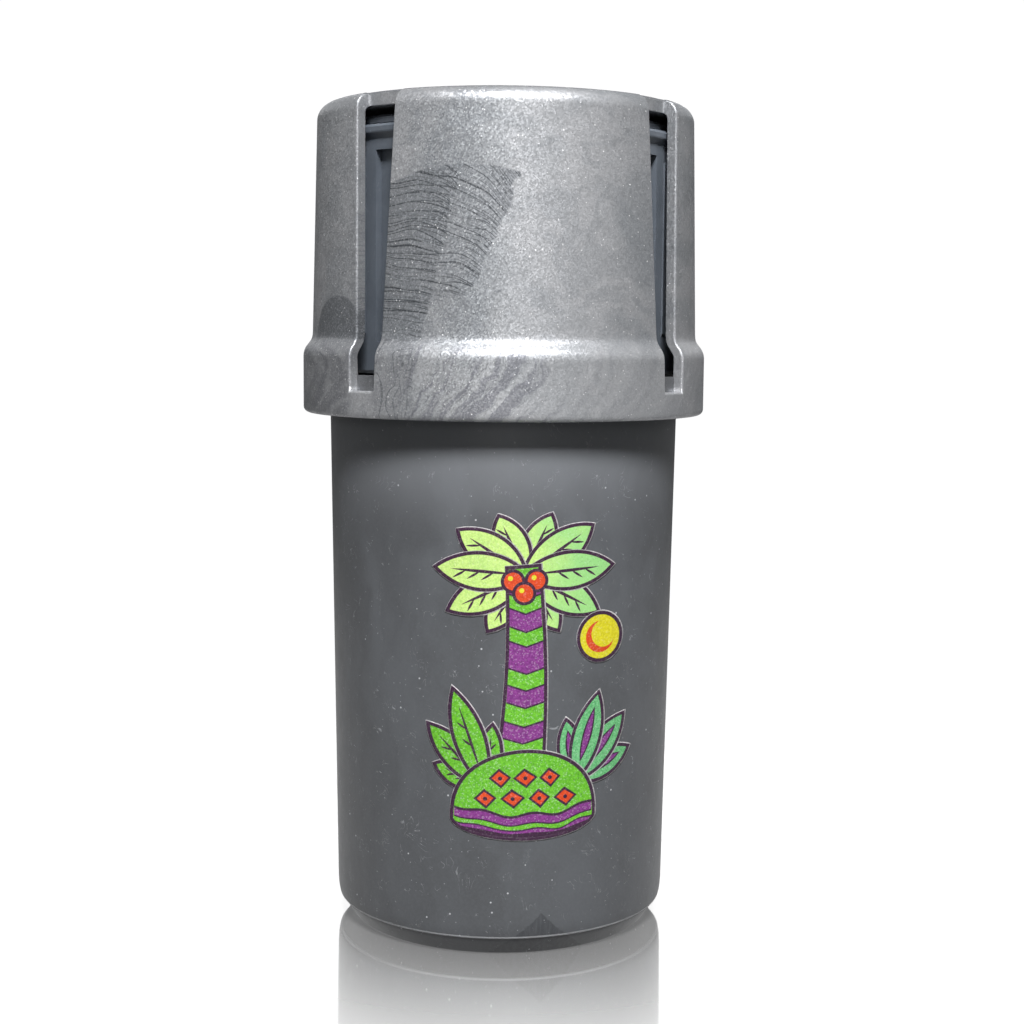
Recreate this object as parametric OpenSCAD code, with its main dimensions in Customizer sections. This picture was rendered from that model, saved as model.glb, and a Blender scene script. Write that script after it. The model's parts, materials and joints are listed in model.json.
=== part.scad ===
// Squeeze-and-turn storage jar with a herb grinder built into its cap.
// +Z is up, the jar stands on z = 0, and the middle of the front squeeze panel faces -Y.

/* [Jar] */
// Radius of the tapered jar wall at the base plane
jar_r_base = 23.57; // [23.3:0.01:23.8]
// Radius of the jar wall under the collar of the cap
jar_r_top = 24.7; // [24.5:0.01:24.75]
// Height where the jar wall turns in to the neck
jar_wall_h = 75.2; // [74.8:0.1:75.4]
// Thickness of the jar wall
jar_wall = 1.6; // [1.4:0.1:1.9]
// Thickness of the jar floor
jar_floor = 2.0; // [1.6:0.1:2.4]
// Height of the small moulded step above the base
step_z = 2.75; // [2.4:0.05:3.2]
// Depth of that step
step_in = 0.55; // [0.45:0.01:0.7]
// Radius of the foot where it meets the table, below the chamfer
foot_r = 21.6; // [21.2:0.05:22.2]

/* [Neck and thread] */
// Outside radius of the neck between the threads
neck_r = 21.6; // [21.5:0.01:21.65]
// Bore radius of the neck
neck_bore_r = 20.1; // [20.1:0.01:20.3]
// Height of the jar's mouth
mouth_z = 90.0; // [89.9:0.05:90.05]
// Rise of the thread in one full turn
thread_lead = 12; // [12:1:12]
// Number of thread starts
thread_starts = 3; // [3:1:3]
// Sweep of each thread in degrees
thread_sweep = 200; // [160:8:216]

/* [Outer cap] */
// Overall height of the closed container
total_h = 115.2; // [115.1:0.05:115.4]
// Radius of the collar
collar_r = 28.5; // [28.4:0.01:28.6]
// Height of the collar's lower edge
collar_z = 72.5; // [72.2:0.1:72.6]
// Wall thickness of the cap
cap_wall = 1.5; // [1.45:0.01:1.55]
// Radius of the cap wall extrapolated to the collar's lower edge
cap_r_low = 27.44; // [27.4:0.01:27.5]
// Loss of cap radius per millimetre of height
cap_taper = 0.02365; // [0.0230:0.0001:0.0240]
// Thickness of the roof
roof_t = 1.85; // [1.75:0.05:1.9]

/* [Squeeze panels] */
// Height where the slots end in the collar
slot_z = 76.1; // [75.5:0.1:76.4]
// Half angle of a panel at mid height
panel_half = 41.0; // [40:0.1:41.5]
// Lean of the panel's side edges in degrees
panel_lean = 2.95; // [2.5:0.05:3.1]
// Half angle of the window at mid height
window_half = 52.6; // [52:0.1:53]
// Lean of the window's side edges in degrees
window_lean = 1.5; // [1:0.1:1.8]
// Inward travel of a squeezed panel
squeeze = 1.2; // [0.8:0.1:1.2]

/* [Screw cap] */
// Outside radius of the drum
drum_r = 24.2; // [24.15:0.01:24.25]
// Height of the drum's lower edge
drum_z = 78.3; // [78.2:0.05:78.6]
// Height of the drum's rim
drum_top = 111.0; // [110.9:0.05:111.0]
// Half angle of a drive pocket in the drum
pocket_half = 51; // [50:0.5:52]
// Radius of the floor of a drive pocket
pocket_r = 23.2; // [23.1:0.01:23.25]

/* [Grinder] */
// Teeth on each ring
teeth = 8; // [6:2:8]
// Width of a tooth along the radius
tooth_w = 2.6; // [2.2:0.1:2.6]
// Length of a tooth round the ring
tooth_l = 3.2; // [2.4:0.1:3.4]
// Diameter of a drain hole
drain_d = 4.2; // [3:0.1:4.2]

/* [Print] */
// Turn of the print's middle from the front, in degrees
print_turn = 5; // [-10:1:20]
// Thickness of the ink layer
ink = 0.12; // [0.06:0.01:0.14]
// Width of the dark outline round every shape of the print
outline = 0.5; // [0.3:0.05:0.6]

/* [Hidden] */
$fn = 96;
roof_z = total_h - roof_t;
skirt_r = 22.75;                    // inside radius of the screw cap's skirt
deck_z = mouth_z + 0.9;             // underside of the screw cap's deck
socket_r = 19.6;                    // bore that holds the grinder cup
chamber_r = 21.6;                   // bore that the rotor turns in
cup_r = 19.5;                       // grinder cup's outside radius
cup_floor = 93.6;                   // top of the grinder cup's floor
cup_top = 98.0;                     // rim of the grinder cup
rotor_floor = 106.6;                // underside of the rotor's plate
panel_z0 = 78.2;                    // foot of the moving part of a panel
panel_z1 = 107.6;                   // head of the moving part of a panel
ring_z1 = 78.1;                     // top of the ring inside the collar
cap_grey = [0.66, 0.67, 0.69];
jar_grey = [0.30, 0.31, 0.33];
drum_grey = [0.25, 0.28, 0.31];

function jar_r(z) = jar_r_base + (jar_r_top - jar_r_base) * z / 72.5;
function cap_r(z) = cap_r_low - cap_taper * (z - 72.5);
// Points of an arc about [cx, cz] from angle a0 to a1, the angles counted from +r towards +z
function arc(cx, cz, r, a0, a1, n = 8) = [for (i = [0:n]) [cx + r * cos(a0 + (a1 - a0) * i / n), cz + r * sin(a0 + (a1 - a0) * i / n)]];

// Solid of revolution of a profile given as [r, z] points
module turned(points) rotate_extrude() polygon(points);

// A ring from r0 to r1 and z0 to z1
module ring(r0, r1, z0, z1) difference() {
    translate([0, 0, z0]) cylinder(r = r1, h = z1 - z0);
    translate([0, 0, z0 - 1]) cylinder(r = r0, h = z1 - z0 + 2);
}

// Everything on the near side of an upright plane through the axis at an angle from the front, leaning about the radius at z0
module near_side(a, lean, z0) rotate([0, 0, a]) translate([0, 0, z0]) rotate([0, a > 0 ? -lean : lean, 0])
    translate([a > 0 ? -90 : 0, -60, -60]) cube([90, 120, 120]);

// The wedge within an angle to both sides of the front, narrower at the top when lean is positive
module wedge(half, lean, z0) intersection() {
    near_side(half, lean, z0);
    near_side(-half, lean, z0);
    translate([-60, -60, 0]) cube([120, 60, 140]);
}

// One thread: a tapered ridge swept along a helix, fading out at both ends.
// root is embedded in its wall, surf is the wall's radius and crest is the ridge's top
module thread(root, surf, crest, z0, start) {
    n = thread_sweep / 8;
    fade = 3;
    function f(i) = min(1, min(i, n - i) / fade);
    function sec(i) = let (a = start + i * 8, z = z0 + thread_lead * i * 8 / 360, k = f(i),
            c = surf + (crest - surf) * k - (1 - k) * (crest > surf ? 0.12 : -0.12))
        [for (p = [[root, -1.0], [c, -0.45 - 0.3 * (1 - k)], [c, 0.45 + 0.3 * (1 - k)], [root, 1.0]])
            [p[0] * cos(a), p[0] * sin(a), z + p[1]]];
    pts = [for (i = [0:n]) for (p = sec(i)) p];
    out = crest > root;
    body = [for (i = [0:n - 1]) for (j = [0:3]) let (a = 4 * i + j, b = 4 * i + (j + 1) % 4)
            each [[a, b, b + 4], [a, b + 4, a + 4]]];
    ends = [[3, 2, 1], [3, 1, 0], [4 * n, 4 * n + 1, 4 * n + 2], [4 * n, 4 * n + 2, 4 * n + 3]];
    faces = concat(body, ends);
    polyhedron(points = pts, faces = out ? faces : [for (t = faces) [t[2], t[1], t[0]]], convexity = 6);
}

module threads(root, surf, crest, z0, turn = 0) for (s = [0:thread_starts - 1]) thread(root, surf, crest, z0, turn + s * 360 / thread_starts);

// ---------------------------------------------------------------- jar

module jar_profile() turned(concat(
    [[0, 0.6], [15.6, 0.6], [16.2, 0]],
    arc(foot_r - 0.5, 0.5, 0.5, -90, -30, 4),
    [[jar_r(step_z) - step_in - 0.06, step_z - 0.4], [jar_r(step_z) - step_in, step_z - 0.12], [jar_r(step_z + 0.1) - 0.3, step_z + 0.02],
     [jar_r(step_z + 0.25) - 0.2, step_z + 0.2], [jar_r(step_z + 1.2) - 0.05, step_z + 1.2], [jar_r(step_z + 2.4), step_z + 2.4]],
    arc(jar_r(jar_wall_h) - 1.5, jar_wall_h, 1.5, 2, 80, 6),
    arc(neck_r + 0.9, jar_wall_h + 2.4, 0.9, -98, -170, 4),
    [[neck_r, mouth_z - 0.7]],
    arc(neck_r - 0.5, mouth_z - 0.5, 0.5, 10, 90, 4),
    arc(neck_bore_r + 0.4, mouth_z - 0.4, 0.4, 90, 175, 4),
    [[neck_bore_r, 76.2], [jar_r(72) - jar_wall, 73.0], [jar_r(5) - jar_wall, 5]],
    arc(jar_r(4) - jar_wall - 2.2, jar_floor + 2.2, 2.2, 0, -90, 6),
    [[0, jar_floor]]));

// Storage jar: tapered wall, moulded step above the base and an externally threaded neck
module jar_body() color(jar_grey) union() {
    jar_profile();
    // bead that the cap's skirt comes down to
    turned([[neck_r - 0.4, 77.6], [neck_r + 0.5, 77.75], [neck_r + 0.5, 77.95], [neck_r - 0.4, 78.15]]);
    threads(neck_r - 0.35, neck_r, 22.5, 79.6);
}

// ---------------------------------------------------------------- print

// Pointed leaf from the origin along +X, with an outline of width d round it
module leaf(l, w, d = 0) let (a = l / 2, s = w / 2, R = (a * a + s * s) / (2 * s)) translate([a, 0]) intersection() {
    translate([0, R - s]) circle(r = R + d);
    translate([0, s - R]) circle(r = R + d);
}

// Fan of leaves [angle, length, width] growing from one point
module fan(x, z, leaves) translate([x, z]) for (f = leaves) rotate(f[0]) leaf(f[1], f[2], outline);

// Silhouette of the print in the plane of the front: a palm on an island with a sun beside it
module motif() {
    // island
    polygon(concat(
        [for (a = [0:7.5:180]) [(9.4 + outline) * cos(a) - 1.2, 19.5 + (8.9 + outline) * pow(max(sin(a), 0), 0.8)]],
        [for (a = [195:15:345]) [(9.4 + outline) * cos(a) - 1.2, 19.5 + (2.6 + outline) * sin(a)]]));
    // trunk, swelling a little to one side and narrowing upwards
    polygon(concat(
        [for (i = [0:6]) [trunk_x(i / 6) - trunk_w(i / 6) / 2 - outline, 24.5 + 28.7 * i / 6]],
        [for (i = [6:-1:0]) [trunk_x(i / 6) + trunk_w(i / 6) / 2 + outline, 24.5 + 28.7 * i / 6]]));
    // crown
    fan(-1.8, 52.4, [[-58, 8.6, 3.6], [238, 8.6, 3.6], [-27, 11.4, 4.2], [207, 10.6, 4.2], [4, 12.2, 4.4], [176, 11.0, 4.4],
        [34, 11.0, 4.3], [146, 10.0, 4.2], [66, 8.4, 3.9], [114, 8.2, 3.9]]);
    // sun
    translate([9.0, 43.6]) circle(r = 3.5);
    // plants on the island
    fan(5.6, 24.5, [[22, 8.6, 3.3], [48, 10.6, 3.6], [74, 11.6, 3.6], [100, 8.0, 3.0]]);
    fan(-6.6, 24.0, [[158, 6.6, 2.9], [132, 10.4, 3.3], [108, 13.2, 3.4], [84, 8.0, 2.8]]);
}

function trunk_x(t) = -2.2 + 0.8 * sin(162 * t);
function trunk_w(t) = 6.0 - 2.1 * pow(t, 0.8);

// Ink layer on the front of the jar, a hair clear of the wall
module printed_graphic() color([0.44, 0.75, 0.2]) intersection() {
    turned([[jar_r(10) + 0.02, 10], [jar_r(10) + 0.02 + ink, 10], [jar_r(70) + 0.02 + ink, 70], [jar_r(70) + 0.02, 70]]);
    rotate([0, 0, print_turn]) rotate([90, 0, 0]) linear_extrude(height = 40) motif();
}

// ---------------------------------------------------------------- seal

// Sealing ring between the jar's mouth and the deck, with a small lip on both faces
module mouth_seal() color([0.12, 0.12, 0.13]) turned([[20.25, mouth_z + 0.06], [20.9, mouth_z + 0.06], [21.1, mouth_z + 0.2],
    [22.45, mouth_z + 0.2], [22.45, deck_z - 0.06], [20.25, deck_z - 0.06]]);

// ---------------------------------------------------------------- screw cap

module screw_cap_shell() turned(concat(
    // skirt, from its lower inner edge outwards
    [[skirt_r + 0.3, drum_z], [drum_r - 0.35, drum_z], [drum_r, drum_z + 0.4], [drum_r, drum_top - 1.9]],
    // rim bead that the outer cap snaps over
    [[24.75, drum_top - 1.1], [24.8, drum_top - 0.9], [24.8, drum_top - 0.35], [24.5, drum_top]],
    [[chamber_r + 0.25, drum_top], [chamber_r, drum_top - 0.3]],
    // chamber, then the lip over the grinder cup and its socket
    [[chamber_r, 100.4], [chamber_r - 0.6, 99.6], [19.1, 99.2], [18.9, 99.0], [18.9, cup_top + 0.06], [socket_r, cup_top + 0.06]],
    [[socket_r, deck_z + 0.3], [socket_r + 0.3, deck_z]],
    // deck and skirt bore
    [[skirt_r, deck_z], [skirt_r, drum_z + 0.4]]));

// Inner screw cap: threaded skirt, grinding chamber, drive pockets and raised pads
module screw_cap() color(drum_grey) difference() {
    union() {
        screw_cap_shell();
        // half a pitch out of step with the jar's threads, so that the ridges lie between each other
        threads(23.1, skirt_r, 21.9, 79.6, 180 / thread_starts);
        // raised pads past the ends of the pockets
        for (t = [90, -90]) intersection() {
            turned([[23, 83.5], [drum_r, 83.5], [24.4, 83.9], [24.4, 106.6], [drum_r, 107.0], [23, 107.0]]);
            rotate([0, 0, t]) wedge(34, 0, 95);
        }
    }
    // drive pockets behind the two squeeze panels
    for (t = [0, 180]) intersection() {
        ring(pocket_r, 26, 82.5, 107.7);
        rotate([0, 0, t]) wedge(pocket_half, 0, 95);
    }
    // key ways for the ribs of the grinder cup
    for (t = [0:90:270]) rotate([0, 0, t + 45]) translate([0, -19.4, deck_z - 0.5]) translate([-1.6, -0.65, 0]) cube([3.2, 1, cup_top - deck_z + 0.56]);
}

// ---------------------------------------------------------------- grinder

// Upright diamond tooth with its middle at radius r
module tooth(r, z0, z1) translate([0, 0, z0]) linear_extrude(height = z1 - z0)
    polygon([[r - tooth_w / 2, 0], [r - 0.3, -tooth_l / 2], [r + tooth_w / 2, 0], [r + 0.3, tooth_l / 2]]);

module tooth_ring(r, z0, z1, count) for (i = [0:count - 1]) rotate([0, 0, (i + 0.5) * 360 / count]) tooth(r, z0, z1);

// Lower grinder cup: pushed up into the screw cap, with teeth, drain holes and a finger bar under its floor
module grinder_cup() color([0.28, 0.30, 0.33]) difference() {
    union() {
        turned(concat([[0, cup_floor - 1.6]], [[18.9, cup_floor - 1.6], [cup_r, cup_floor - 1.0]],
            [[cup_r, cup_top - 0.3], [cup_r - 0.3, cup_top], [18.2, cup_top], [17.9, cup_top - 0.3], [17.9, cup_floor + 0.8], [17.2, cup_floor], [0, cup_floor]]));
        for (t = [0:90:270]) rotate([0, 0, t + 45]) translate([-1.4, -19.8, cup_floor - 1.0]) cube([2.8, 1, cup_top - cup_floor + 0.7]);
        tooth_ring(5.1, cup_floor - 0.5, 105.2, teeth / 2);
        tooth_ring(12.1, cup_floor - 0.5, 105.2, teeth);
        // finger bar
        translate([-13.5, -1.2, 88.4]) cube([27, 2.4, cup_floor - 1.2 - 88.4]);
    }
    // rounded ends of the finger bar
    for (s = [-1, 1]) translate([s * 16.1, 2, 86.4]) rotate([90, 0, 0]) cylinder(r = 5.4, h = 4);
    // drain holes between the teeth
    for (i = [0:teeth - 1]) rotate([0, 0, i * 360 / teeth]) translate([15.0, 0, 80]) cylinder(d = drain_d, h = 20);
    for (i = [0:teeth - 1]) rotate([0, 0, (i + 0.5) * 360 / teeth]) translate([8.6, 0, 80]) cylinder(d = drain_d * 0.75, h = 20);
}

// Upper grinder plate: a dished plate whose flange rides on the drum's rim, with a keyed hub and teeth below
module grinder_rotor() color([0.28, 0.30, 0.33]) difference() {
    union() {
        turned([[0, rotor_floor], [20.6, rotor_floor], [21.2, rotor_floor + 0.5], [21.2, rotor_floor + 2.4], [20.45, rotor_floor + 2.4],
            [20.45, rotor_floor + 3.75], [21.2, rotor_floor + 3.75], [21.2, drum_top + 0.1], [23.2, drum_top + 0.1], [23.4, drum_top + 0.3],
            [23.4, drum_top + 1.0], [23.1, drum_top + 1.3], [19.2, drum_top + 1.3], [18.9, drum_top + 1.0], [18.9, rotor_floor + 2.1],
            [18.4, rotor_floor + 1.6], [0, rotor_floor + 1.6]]);
        ring(0.1, 8.2, rotor_floor + 0.5, drum_top + 0.4);
        for (i = [0:5]) rotate([0, 0, i * 60 + 30]) translate([7.8, -0.6, rotor_floor + 0.5]) cube([11.6, 1.2, 3.2]);
        tooth_ring(8.6, 95.4, rotor_floor + 0.5, teeth);
        tooth_ring(15.6, 95.4, rotor_floor + 0.5, teeth);
        // centre spike
        turned([[0, 95.8], [0.5, 96.0], [1.5, rotor_floor + 0.5], [0, rotor_floor + 0.5]]);
    }
    // hexagonal socket for the boss of the outer cap
    translate([0, 0, rotor_floor + 1.6]) cylinder(r = 6.62, h = 10, $fn = 6);
}

// O-ring in the rotor's groove, against the chamber wall
module rotor_seal() color([0.1, 0.1, 0.11]) rotate_extrude() translate([21.02, rotor_floor + 3.075]) circle(r = 0.52, $fn = 32);

// ---------------------------------------------------------------- outer cap

// Outer face of the cap, from the collar's lower edge to the middle of the roof
function cap_outer() = concat(
    arc(collar_r - 0.8, collar_z + 0.8, 0.8, -90, 0, 4),
    [[collar_r, 80.4], [collar_r - 0.08, 81.0], [collar_r - 0.3, 81.6], [collar_r - 0.7, 82.2], [collar_r - 1.02, 82.65], [cap_r(83.3) + 0.06, 83.1], [cap_r(83.8), 83.8]],
    arc(cap_r(total_h - 2.2) - 2.2, total_h - 2.2, 2.2, 0, 90, 8));
// Inner face of the cap without the ring in the collar, from the middle of the roof down
function cap_inner() = concat(
    arc(cap_r(roof_z - 0.9) - cap_wall - 0.9, roof_z - 0.9, 0.9, 90, 0, 5),
    [[cap_r(83.2) - cap_wall, 83.2], [collar_r - cap_wall, 81.1]]);

module cap_shell() turned(concat(cap_outer(), [[0, total_h], [0, roof_z]], cap_inner(),
    [[collar_r - cap_wall, collar_z + 0.4], [collar_r - cap_wall + 0.4, collar_z]]));

// The moving stretch of a panel, with drive ribs near both side edges
module panel() {
    intersection() {
        cap_shell();
        wedge(panel_half, panel_lean, 95);
        translate([0, 0, panel_z0]) cylinder(r = 40, h = panel_z1 - panel_z0);
    }
    // drive ribs that enter the pockets of the drum
    for (a = [-1, 1]) intersection() {
        turned([[24.75, 86.6], [25.3, 86], [26, 86], [26, 104], [25.3, 104], [24.75, 103.4]]);
        rotate([0, 0, a * 36.6]) wedge(1.5, 0, 95);
    }
}

module front_squeeze_panel() color(cap_grey) panel();
module rear_squeeze_panel() color(cap_grey) rotate([0, 0, 180]) panel();

// Everything between the side edges of a window, outside the panel
module slots() difference() {
    intersection() {
        wedge(window_half, -window_lean, 95);
        ring(24.4, 40, slot_z, 130);
    }
    wedge(panel_half, panel_lean, 95);
}

// Outer cap: marbled shell with a collar, two windows for the squeeze panels, snap ribs and the boss that turns the rotor
module outer_cap() color(cap_grey) union() {
    difference() {
        cap_shell();
        for (t = [0, 180]) rotate([0, 0, t]) {
            slots();
            // room for the moving stretch of the panel
            intersection() {
                wedge(panel_half + 0.4, panel_lean, 95);
                ring(24.0, 40, panel_z0 - 0.06, panel_z1 + 0.06);
            }
        }
    }
    // ring inside the collar, seen behind the lower ends of the slots
    turned([[25.4, 74.9], [27.2, 74.4], [27.2, ring_z1], [25.65, ring_z1], [25.4, ring_z1 - 0.25]]);
    // snap ribs under the drum's rim bead
    for (t = [90, -90]) intersection() {
        turned([[24.5, 108.0], [25.2, 107.3], [25.8, 107.3], [25.8, 109.2], [24.6, 109.2]]);
        rotate([0, 0, t]) wedge(26, 0, 95);
    }
    // hexagonal boss that carries the rotor
    translate([0, 0, rotor_floor + 2.0]) cylinder(r = 6.55, h = roof_z + 0.3 - rotor_floor - 2.0, $fn = 6);
}

jar_body();
printed_graphic();
mouth_seal();
screw_cap();
grinder_cup();
grinder_rotor();
rotor_seal();
outer_cap();
front_squeeze_panel();
rear_squeeze_panel();
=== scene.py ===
import json
import math

import bpy
import numpy as np
from mathutils import Matrix, Vector
from mathutils.geometry import delaunay_2d_cdt

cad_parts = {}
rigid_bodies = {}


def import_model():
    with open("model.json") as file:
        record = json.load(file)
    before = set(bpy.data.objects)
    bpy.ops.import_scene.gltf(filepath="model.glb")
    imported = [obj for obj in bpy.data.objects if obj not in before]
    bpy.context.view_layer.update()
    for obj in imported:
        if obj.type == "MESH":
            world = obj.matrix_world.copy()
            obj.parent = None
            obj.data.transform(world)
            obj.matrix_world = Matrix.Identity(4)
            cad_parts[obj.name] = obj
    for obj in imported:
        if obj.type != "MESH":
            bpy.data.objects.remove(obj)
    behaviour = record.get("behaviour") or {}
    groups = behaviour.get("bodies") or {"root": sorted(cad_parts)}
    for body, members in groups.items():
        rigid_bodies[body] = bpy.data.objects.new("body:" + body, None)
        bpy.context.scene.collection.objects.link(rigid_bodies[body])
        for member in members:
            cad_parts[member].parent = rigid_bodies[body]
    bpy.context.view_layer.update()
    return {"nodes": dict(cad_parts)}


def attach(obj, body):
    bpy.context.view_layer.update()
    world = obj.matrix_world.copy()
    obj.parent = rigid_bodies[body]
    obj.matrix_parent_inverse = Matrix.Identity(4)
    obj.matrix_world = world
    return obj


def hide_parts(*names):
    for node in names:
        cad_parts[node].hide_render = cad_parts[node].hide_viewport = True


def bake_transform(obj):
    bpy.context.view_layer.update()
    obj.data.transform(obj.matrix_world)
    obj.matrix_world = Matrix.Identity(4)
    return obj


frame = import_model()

MM = 0.001
nodes = frame["nodes"]
scene = bpy.context.scene


# ------------------------------------------------------------------ sizes, in mm, as in the CAD
JAR_R0, JAR_R1 = 23.57, 24.70
TOTAL_H, COLLAR_R, COLLAR_Z = 115.2, 28.5, 72.5
SLOT_Z, SEAM0, SEAM1, MID = 76.1, 78.2, 112.85, 95.0
PANEL_A, PANEL_LEAN = 41.0, 2.95
WIN_A, WIN_LEAN = 52.6, 1.5
NOTCH_R = 24.4
ROOF_Z = 113.35


def jar_r(z):
    return JAR_R0 + (JAR_R1 - JAR_R0) * z / 72.5


def cap_r(z):
    return 27.44 - 0.02365 * (z - 72.5)


def arc(cx, cz, r, a0, a1, n):
    return [(cx + r * math.cos(math.radians(a0 + (a1 - a0) * i / n)), cz + r * math.sin(math.radians(a0 + (a1 - a0) * i / n))) for i in range(n + 1)]


# ------------------------------------------------------------------ mesh helpers
def make(name, verts, faces, mats, face_mats=None, smooth=True, recalc=True):
    """A mesh object from points in mm. Each point's own place at rest is kept in the attribute rco, which the materials read."""
    me = bpy.data.meshes.new(name)
    v = np.asarray(verts, float)
    me.from_pydata((v * MM).tolist(), [], faces)
    me.update()
    if recalc:
        import bmesh
        bm = bmesh.new()
        bm.from_mesh(me)
        bmesh.ops.recalc_face_normals(bm, faces=bm.faces)
        bm.to_mesh(me)
        bm.free()
    rco = me.attributes.new("rco", "FLOAT_VECTOR", "POINT")
    co = np.zeros(len(me.vertices) * 3, np.float32)
    me.vertices.foreach_get("co", co)
    rco.data.foreach_set("vector", co * 1000.0)
    for m in mats:
        me.materials.append(m)
    if face_mats is not None:
        me.polygons.foreach_set("material_index", np.asarray(face_mats, np.int32))
    me.polygons.foreach_set("use_smooth", np.full(len(me.polygons), smooth))
    me.update()
    ob = bpy.data.objects.new(name, me)
    scene.collection.objects.link(ob)
    return ob


def lathe_data(profile, n, closed=False, base=0, a0=0.0, a1=360.0):
    """Vertices and quads of a profile [(r, z)] turned about Z. Points with r = 0 are poles. A sweep under a full turn gets end faces if the profile is closed."""
    full = abs(a1 - a0) >= 359.999
    cols = n if full else n + 1
    ang = np.radians(a0 + (a1 - a0) * np.arange(cols) / n)
    s, c = np.sin(ang), -np.cos(ang)
    V, rows, F = [], [], []
    for r, z in profile:
        if r < 1e-6:
            rows.append([base + len(V)] * cols)
            V.append((0.0, 0.0, z))
        else:
            rows.append([base + len(V) + i for i in range(cols)])
            V += [(r * s[i], r * c[i], z) for i in range(cols)]
    pairs = list(zip(range(len(rows) - 1), range(1, len(rows))))
    if closed:
        pairs.append((len(rows) - 1, 0))
    for i, j in pairs:
        for k in range(cols if full else cols - 1):
            l = (k + 1) % cols
            q = [rows[i][k], rows[i][l], rows[j][l], rows[j][k]]
            q = list(dict.fromkeys(q))
            if len(q) > 2:
                F.append(q)
    if not full and closed:
        F.append([r[0] for r in rows])
        F.append([r[-1] for r in reversed(rows)])
    return V, F


def thread_data(root, surf, crest, z0, start, base=0, lead=12.0, sweep=200.0, step=4.0):
    """One helical ridge with a rounded crest, fading out at both ends."""
    n = int(round(sweep / step))
    V, F, m = [], [], 7
    for i in range(n + 1):
        k = min(1.0, min(i, n - i) * step / 24.0)
        k = k * k * (3 - 2 * k)
        a = math.radians(start + i * step)
        z = z0 + lead * i * step / 360.0
        top = surf + (crest - surf) * k - (1 - k) * (0.12 if crest > surf else -0.12)
        prof = [(root, -1.0), (surf, -0.9), (surf + (top - surf) * 0.86, -0.56), (top, -0.3), (top, 0.3), (surf + (top - surf) * 0.86, 0.56), (surf, 0.9), (root, 1.0)]
        m = len(prof)
        for r, dz in prof:
            V.append((r * math.cos(a), r * math.sin(a), z + dz))
    for i in range(n):
        for j in range(m):
            a, b = base + m * i + j, base + m * i + (j + 1) % m
            F.append([a, b, b + m, a + m])
    F.append([base + j for j in range(m)])
    F.append([base + m * n + j for j in reversed(range(m))])
    return V, F


def smoothstep(x, a, b):
    t = np.clip((x - a) / (b - a), 0, 1)
    return t * t * (3 - 2 * t)


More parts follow.
